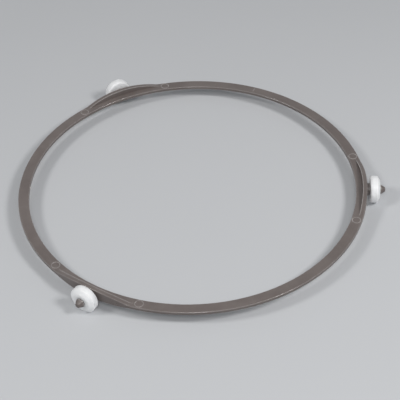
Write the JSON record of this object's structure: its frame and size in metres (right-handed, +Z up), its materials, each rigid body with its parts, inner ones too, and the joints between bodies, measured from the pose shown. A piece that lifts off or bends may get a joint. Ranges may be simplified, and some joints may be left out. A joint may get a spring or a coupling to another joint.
{
  "type": "microwave roller ring",
  "caption": "Flat moulded ring with free-turning rollers on stub axles around its rim; it runs on a microwave oven's floor and carries the glass turntable plate.",
  "frame": {"origin": "on the ring's axis, at the floor that the rollers run on", "axes": "+Z up along the ring's axis; +X out along the axle of roller_right; roller_rear and roller_front follow at 120 and 240 degrees"},
  "size_m": [0.1956, 0.186, 0.0144],
  "materials": {
    "ring_plastic": "satin moulded taupe plastic",
    "roller_plastic": "smooth moulded white plastic"
  },
  "bodies": {
    "ring": {"support_ring": "ring_plastic"},
    "right_wheel": {"roller_right": "roller_plastic"},
    "rear_wheel": {"roller_rear": "roller_plastic"},
    "front_wheel": {"roller_front": "roller_plastic"}
  },
  "joints": [
    {"name": "right_roller_spin", "type": "hinge", "parent": "ring", "child": "right_wheel", "pos_m": [0.0972, 0, 0.0072], "axis": [1, 0, 0], "continuous": true},
    {"name": "rear_roller_spin", "type": "hinge", "parent": "ring", "child": "rear_wheel", "pos_m": [-0.0486, 0.08418, 0.0072], "axis": [-0.5, 0.866, 0], "continuous": true},
    {"name": "front_roller_spin", "type": "hinge", "parent": "ring", "child": "front_wheel", "pos_m": [-0.0486, -0.08418, 0.0072], "axis": [-0.5, -0.866, 0], "continuous": true}
  ]
}
